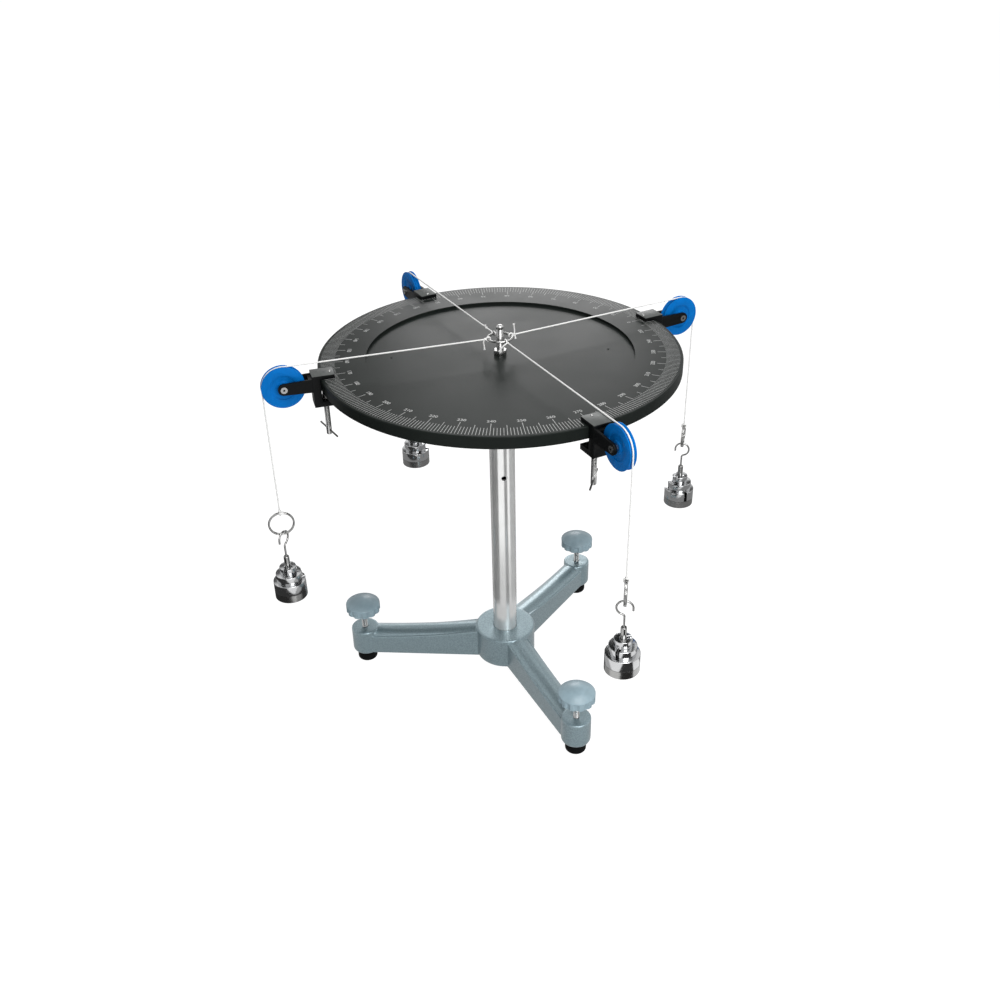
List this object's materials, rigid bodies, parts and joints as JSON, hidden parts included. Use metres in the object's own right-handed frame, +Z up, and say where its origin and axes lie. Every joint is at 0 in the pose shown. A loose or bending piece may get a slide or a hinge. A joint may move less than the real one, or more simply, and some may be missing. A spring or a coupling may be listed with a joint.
{
  "type": "force table",
  "caption": "Round degree table on a tripod stand, with clamp-on pulleys, strings tied to a centre ring, and slotted masses on hooked hangers that balance forces on the ring.",
  "frame": {"origin": "on the column's axis, at the floor under the rubber feet", "axes": "+Z up along the column; +X lies 5 degrees clockwise of the right back clamp, seen from above, and +Y is 90 degrees further round counter-clockwise"},
  "size_m": [0.5579, 0.5577, 0.4695],
  "materials": {
    "base_paint": "satin",
    "table_black": "satin",
    "clamp_black": "satin",
    "pulley_blue": "gloss",
    "knob_plastic": "satin",
    "rubber": "matte",
    "chrome": "polished",
    "steel": "satin",
    "string": "matte"
  },
  "bodies": {
    "stand": {"tripod_base": "base_paint", "column_tube": "chrome", "table_stem": "steel", "table_disc": "table_black", "centre_post": "steel", "post_nut": "steel"},
    "ring": {"centre_ring": "chrome"},
    "foot_front": {"rubber_foot_front": "rubber"},
    "leveller_front": {"levelling_screw_front": "steel", "levelling_knob_front": "knob_plastic"},
    "foot_back": {"rubber_foot_back": "rubber"},
    "leveller_back": {"levelling_screw_back": "steel", "levelling_knob_back": "knob_plastic"},
    "foot_left": {"rubber_foot_left": "rubber"},
    "leveller_left": {"levelling_screw_left": "steel", "levelling_knob_left": "knob_plastic"},
    "clamp_left": {"clamp_body_left": "clamp_black", "pulley_axle_left": "steel", "string_run_left": "string"},
    "pad_left": {"clamp_pad_left": "steel"},
    "screw_left": {"clamp_screw_left": "steel", "cross_pin_left": "steel"},
    "wheel_left": {"pulley_left": "pulley_blue"},
    "drop_left": {"string_drop_left": "string", "wire_ring_left": "chrome"},
    "hanger_left": {"mass_hanger_left": "chrome"},
    "masses_left": {"slotted_masses_left": "chrome"},
    "clamp_left_back": {"clamp_body_left_back": "clamp_black", "pulley_axle_left_back": "steel", "string_run_left_back": "string"},
    "pad_left_back": {"clamp_pad_left_back": "steel"},
    "screw_left_back": {"clamp_screw_left_back": "steel", "cross_pin_left_back": "steel"},
    "wheel_left_back": {"pulley_left_back": "pulley_blue"},
    "drop_left_back": {"string_drop_left_back": "string", "wire_ring_left_back": "chrome"},
    "hanger_left_back": {"mass_hanger_left_back": "chrome"},
    "masses_left_back": {"slotted_masses_left_back": "chrome"},
    "clamp_right_back": {"clamp_body_right_back": "clamp_black", "pulley_axle_right_back": "steel", "string_run_right_back": "string"},
    "pad_right_back": {"clamp_pad_right_back": "steel"},
    "screw_right_back": {"clamp_screw_right_back": "steel", "cross_pin_right_back": "steel"},
    "wheel_right_back": {"pulley_right_back": "pulley_blue"},
    "drop_right_back": {"string_drop_right_back": "string", "wire_ring_right_back": "chrome"},
    "hanger_right_back": {"mass_hanger_right_back": "chrome"},
    "masses_right_back": {"slotted_masses_right_back": "chrome"},
    "clamp_right_front": {"clamp_body_right_front": "clamp_black", "pulley_axle_right_front": "steel", "string_run_right_front": "string"},
    "pad_right_front": {"clamp_pad_right_front": "steel"},
    "screw_right_front": {"clamp_screw_right_front": "steel", "cross_pin_right_front": "steel"},
    "wheel_right_front": {"pulley_right_front": "pulley_blue"},
    "drop_right_front": {"string_drop_right_front": "string", "wire_ring_right_front": "chrome"},
    "hanger_right_front": {"mass_hanger_right_front": "chrome"},
    "masses_right_front": {"slotted_masses_right_front": "chrome"}
  },
  "joints": [
    {"name": "centre_ring_turn", "type": "hinge", "parent": "stand", "child": "ring", "pos_m": [0, 0, 0.4546], "axis": [0, 0, 1], "continuous": true},
    {"name": "foot_front_lift", "type": "slide", "parent": "stand", "child": "foot_front", "axis": [0, 0, 1], "range_m": [-0.012, 0.002]},
    {"name": "leveller_front_turn", "type": "hinge", "parent": "foot_front", "child": "leveller_front", "pos_m": [0.01277, -0.18255, 0.05], "axis": [0, 0, 1], "range_deg": [-3456, 576]},
    {"name": "foot_back_lift", "type": "slide", "parent": "stand", "child": "foot_back", "axis": [0, 0, 1], "range_m": [-0.012, 0.002]},
    {"name": "leveller_back_turn", "type": "hinge", "parent": "foot_back", "child": "leveller_back", "pos_m": [0.15171, 0.10233, 0.05], "axis": [0, 0, 1], "range_deg": [-3456, 576]},
    {"name": "foot_left_lift", "type": "slide", "parent": "stand", "child": "foot_left", "axis": [0, 0, 1], "range_m": [-0.012, 0.002]},
    {"name": "leveller_left_turn", "type": "hinge", "parent": "foot_left", "child": "leveller_left", "pos_m": [-0.16448, 0.08022, 0.05], "axis": [0, 0, 1], "range_deg": [-3456, 576]},
    {"name": "clamp_left_swing", "type": "hinge", "parent": "stand", "child": "clamp_left", "pos_m": [0, 0, 0.43], "axis": [0, 0, 1], "range_deg": [-25, 25]},
    {"name": "pad_left_lift", "type": "slide", "parent": "clamp_left", "child": "pad_left", "axis": [0, 0, 1], "range_m": [-0.008, 0]},
    {"name": "screw_left_turn", "type": "hinge", "parent": "pad_left", "child": "screw_left", "pos_m": [-0.19503, 0.01947, 0.4], "axis": [0, 0, 1], "range_deg": [-2880, 0]},
    {"name": "pulley_left_spin", "type": "hinge", "parent": "clamp_left", "child": "wheel_left", "pos_m": [-0.23782, 0.02374, 0.4323], "axis": [-0.0993, -0.9951, 0], "continuous": true},
    {"name": "string_left_swing", "type": "hinge", "parent": "clamp_left", "child": "drop_left", "pos_m": [-0.26001, 0.02595, 0.4323], "axis": [-0.9951, 0.0993, 0], "range_deg": [-8, 8]},
    {"name": "hanger_left_swing", "type": "hinge", "parent": "drop_left", "child": "hanger_left", "pos_m": [-0.26001, 0.02595, 0.2513], "axis": [-0.9951, 0.0993, 0], "range_deg": [-15, 15]},
    {"name": "masses_left_lift", "type": "slide", "parent": "hanger_left", "child": "masses_left", "axis": [0, 0, 1], "range_m": [0, 0.025]},
    {"name": "clamp_left_back_swing", "type": "hinge", "parent": "stand", "child": "clamp_left_back", "pos_m": [0, 0, 0.43], "axis": [0, 0, 1], "range_deg": [-25, 25]},
    {"name": "pad_left_back_lift", "type": "slide", "parent": "clamp_left_back", "child": "pad_left_back", "axis": [0, 0, 1], "range_m": [-0.008, 0]},
    {"name": "screw_left_back_turn", "type": "hinge", "parent": "pad_left_back", "child": "screw_left_back", "pos_m": [-0.01947, 0.19503, 0.4], "axis": [0, 0, 1], "range_deg": [-2880, 0]},
    {"name": "pulley_left_back_spin", "type": "hinge", "parent": "clamp_left_back", "child": "wheel_left_back", "pos_m": [-0.02374, 0.23782, 0.4323], "axis": [-0.9951, -0.0993, 0], "continuous": true},
    {"name": "string_left_back_swing", "type": "hinge", "parent": "clamp_left_back", "child": "drop_left_back", "pos_m": [-0.02595, 0.26001, 0.4323], "axis": [-0.0993, 0.9951, 0], "range_deg": [-8, 8]},
    {"name": "hanger_left_back_swing", "type": "hinge", "parent": "drop_left_back", "child": "hanger_left_back", "pos_m": [-0.02595, 0.26001, 0.2543], "axis": [-0.4337, 0.9011, 0], "range_deg": [-15, 15]},
    {"name": "masses_left_back_lift", "type": "slide", "parent": "hanger_left_back", "child": "masses_left_back", "axis": [0, 0, 1], "range_m": [0, 0.025]},
    {"name": "clamp_right_back_swing", "type": "hinge", "parent": "stand", "child": "clamp_right_back", "pos_m": [0, 0, 0.43], "axis": [0, 0, 1], "range_deg": [-25, 25]},
    {"name": "pad_right_back_lift", "type": "slide", "parent": "clamp_right_back", "child": "pad_right_back", "axis": [0, 0, 1], "range_m": [-0.008, 0]},
    {"name": "screw_right_back_turn", "type": "hinge", "parent": "pad_right_back", "child": "screw_right_back", "pos_m": [0.19525, 0.01708, 0.4], "axis": [0, 0, 1], "range_deg": [-2880, 0]},
    {"name": "pulley_right_back_spin", "type": "hinge", "parent": "clamp_right_back", "child": "wheel_right_back", "pos_m": [0.23809, 0.02083, 0.4323], "axis": [-0.0872, 0.9962, 0], "continuous": true},
    {"name": "string_right_back_swing", "type": "hinge", "parent": "clamp_right_back", "child": "drop_right_back", "pos_m": [0.26031, 0.02277, 0.4323], "axis": [0.9962, 0.0872, 0], "range_deg": [-8, 8]},
    {"name": "hanger_right_back_swing", "type": "hinge", "parent": "drop_right_back", "child": "hanger_right_back", "pos_m": [0.26031, 0.02277, 0.2503], "axis": [0.6018, 0.7986, 0], "range_deg": [-15, 15]},
    {"name": "masses_right_back_lift", "type": "slide", "parent": "hanger_right_back", "child": "masses_right_back", "axis": [0, 0, 1], "range_m": [0, 0.025]},
    {"name": "clamp_right_front_swing", "type": "hinge", "parent": "stand", "child": "clamp_right_front", "pos_m": [0, 0, 0.43], "axis": [0, 0, 1], "range_deg": [-25, 25]},
    {"name": "pad_right_front_lift", "type": "slide", "parent": "clamp_right_front", "child": "pad_right_front", "axis": [0, 0, 1], "range_m": [-0.008, 0]},
    {"name": "screw_right_front_turn", "type": "hinge", "parent": "pad_right_front", "child": "screw_right_front", "pos_m": [0.01844, -0.19513, 0.4], "axis": [0, 0, 1], "range_deg": [-2880, 0]},
    {"name": "pulley_right_front_spin", "type": "hinge", "parent": "clamp_right_front", "child": "wheel_right_front", "pos_m": [0.02249, -0.23794, 0.4323], "axis": [0.9956, 0.0941, 0], "continuous": true},
    {"name": "string_right_front_swing", "type": "hinge", "parent": "clamp_right_front", "child": "drop_right_front", "pos_m": [0.02459, -0.26014, 0.4323], "axis": [0.0941, -0.9956, 0], "range_deg": [-8, 8]},
    {"name": "hanger_right_front_swing", "type": "hinge", "parent": "drop_right_front", "child": "hanger_right_front", "pos_m": [0.02459, -0.26014, 0.2643], "axis": [-0.509, -0.8607, 0], "range_deg": [-15, 15]},
    {"name": "masses_right_front_lift", "type": "slide", "parent": "hanger_right_front", "child": "masses_right_front", "axis": [0, 0, 1], "range_m": [0, 0.025]}
  ],
  "couplings": [
    {"joint": "foot_front_lift", "follows": "leveller_front_turn", "m_per_rad": 0.00019894},
    {"joint": "foot_back_lift", "follows": "leveller_back_turn", "m_per_rad": 0.00019894},
    {"joint": "foot_left_lift", "follows": "leveller_left_turn", "m_per_rad": 0.00019894},
    {"joint": "pad_left_lift", "follows": "screw_left_turn", "m_per_rad": 0.00015915},
    {"joint": "pad_left_back_lift", "follows": "screw_left_back_turn", "m_per_rad": 0.00015915},
    {"joint": "pad_right_back_lift", "follows": "screw_right_back_turn", "m_per_rad": 0.00015915},
    {"joint": "pad_right_front_lift", "follows": "screw_right_front_turn", "m_per_rad": 0.00015915}
  ]
}
